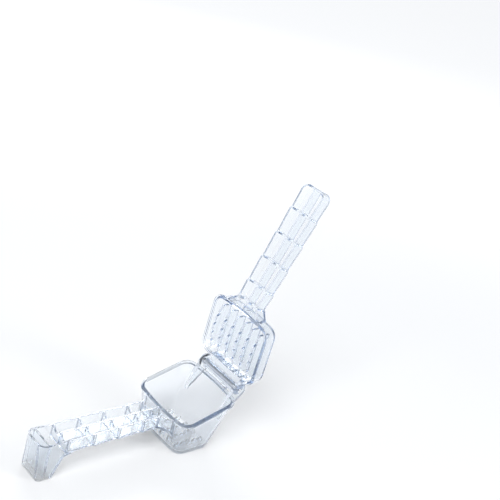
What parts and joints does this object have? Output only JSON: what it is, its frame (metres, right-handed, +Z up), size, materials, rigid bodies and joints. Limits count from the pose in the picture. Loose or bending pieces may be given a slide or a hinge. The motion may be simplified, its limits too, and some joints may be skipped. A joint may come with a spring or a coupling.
{
  "type": "hand ice crusher",
  "caption": "Clear plastic hand-squeezed ice crusher: a deep cup and a toothed presser, each with a ribbed grip, joined by a pinned hinge and shown standing open.",
  "frame": {"origin": "middle of the cup's flat base, on the surface that the crusher stands on", "axes": "+Z up, +X from the grips towards the hinge, +Y along the hinge pin towards its head"},
  "size_m": [0.3111, 0.0924, 0.2981],
  "materials": {
    "clear_plastic": "clear moulded polycarbonate, glossy, faintly blue",
    "pin_steel": "drawn stainless steel rod with a domed head"
  },
  "bodies": {
    "cup_side": {"cup_arm": "clear_plastic", "hinge_pin": "pin_steel"},
    "presser_side": {"presser_arm": "clear_plastic"}
  },
  "joints": [
    {"name": "squeeze", "type": "hinge", "parent": "cup_side", "child": "presser_side", "pos_m": [0.051, 0, 0.066], "axis": [0, -1, 0], "range_deg": [0, 107]}
  ]
}
